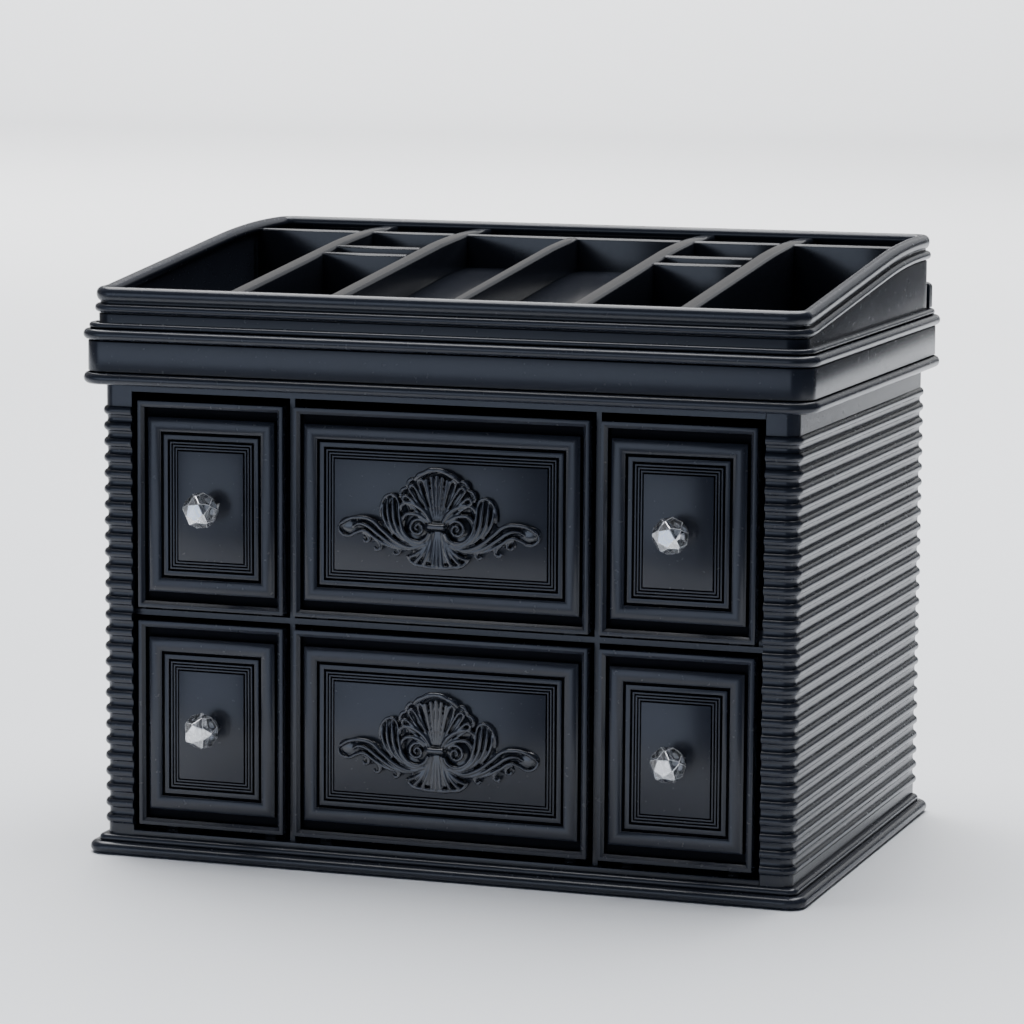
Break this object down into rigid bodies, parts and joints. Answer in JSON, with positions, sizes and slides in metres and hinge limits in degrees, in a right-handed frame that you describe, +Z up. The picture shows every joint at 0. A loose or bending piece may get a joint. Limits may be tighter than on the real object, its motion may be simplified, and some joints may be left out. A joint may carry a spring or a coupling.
{
  "type": "vanity organizer",
  "caption": "Ribbed tabletop vanity organizer with two rows of panelled sliding drawers under an open compartment tray with a sloped, beaded rim.",
  "frame": {"origin": "middle of the underside, on the plane that rests on the table", "axes": "+X to the right seen from the drawers, +Y towards the back, +Z up"},
  "size_m": [0.325, 0.2375, 0.2634],
  "materials": {
    "black_plastic": "satin",
    "tray_plastic": "satin",
    "box_plastic": "matte",
    "clear_crystal": "polished",
    "screw_steel": "zinc plated"
  },
  "bodies": {
    "cabinet": {"back_panel": "black_plastic", "base_plinth": "black_plastic", "far_left_cross_partition": "tray_plastic", "far_left_partition": "tray_plastic", "far_right_cross_partition": "tray_plastic", "far_right_partition": "tray_plastic", "left_cross_partition": "tray_plastic", "left_deep_bin_wall": "tray_plastic", "left_display_floor": "tray_plastic", "left_partition": "tray_plastic", "left_side_panel": "black_plastic", "left_small_bin_wall": "tray_plastic", "lower_left_divider": "black_plastic", "lower_right_divider": "black_plastic", "mid_shelf": "black_plastic", "middle_cross_partition": "tray_plastic", "middle_partition": "tray_plastic", "organizer_tray": "black_plastic", "right_cross_partition": "tray_plastic", "right_deep_bin_wall": "tray_plastic", "right_display_floor": "tray_plastic", "right_partition": "tray_plastic", "right_side_panel": "black_plastic", "right_small_bin_wall": "tray_plastic", "top_deck": "black_plastic", "tray_cornice": "black_plastic", "upper_left_divider": "black_plastic", "upper_right_divider": "black_plastic"},
    "lower_left_drawer": {"lower_left_drawer_box": "box_plastic", "lower_left_drawer_front": "black_plastic", "lower_left_knob": "clear_crystal", "lower_left_knob_screw": "screw_steel"},
    "lower_centre_drawer": {"lower_centre_drawer_box": "box_plastic", "lower_centre_drawer_front": "black_plastic", "lower_shell_ornament": "black_plastic"},
    "lower_right_drawer": {"lower_right_drawer_box": "box_plastic", "lower_right_drawer_front": "black_plastic", "lower_right_knob": "clear_crystal", "lower_right_knob_screw": "screw_steel"},
    "upper_left_drawer": {"upper_left_drawer_box": "box_plastic", "upper_left_drawer_front": "black_plastic", "upper_left_knob": "clear_crystal", "upper_left_knob_screw": "screw_steel"},
    "upper_centre_drawer": {"upper_centre_drawer_box": "box_plastic", "upper_centre_drawer_front": "black_plastic", "upper_shell_ornament": "black_plastic"},
    "upper_right_drawer": {"upper_right_drawer_box": "box_plastic", "upper_right_drawer_front": "black_plastic", "upper_right_knob": "clear_crystal", "upper_right_knob_screw": "screw_steel"}
  },
  "joints": [
    {"name": "lower_left_drawer_slide", "type": "slide", "parent": "cabinet", "child": "lower_left_drawer", "axis": [0, -1, 0], "range_m": [0, 0.14]},
    {"name": "lower_centre_drawer_slide", "type": "slide", "parent": "cabinet", "child": "lower_centre_drawer", "axis": [0, -1, 0], "range_m": [0, 0.14]},
    {"name": "lower_right_drawer_slide", "type": "slide", "parent": "cabinet", "child": "lower_right_drawer", "axis": [0, -1, 0], "range_m": [0, 0.14]},
    {"name": "upper_left_drawer_slide", "type": "slide", "parent": "cabinet", "child": "upper_left_drawer", "axis": [0, -1, 0], "range_m": [0, 0.14]},
    {"name": "upper_centre_drawer_slide", "type": "slide", "parent": "cabinet", "child": "upper_centre_drawer", "axis": [0, -1, 0], "range_m": [0, 0.14]},
    {"name": "upper_right_drawer_slide", "type": "slide", "parent": "cabinet", "child": "upper_right_drawer", "axis": [0, -1, 0], "range_m": [0, 0.14]}
  ]
}
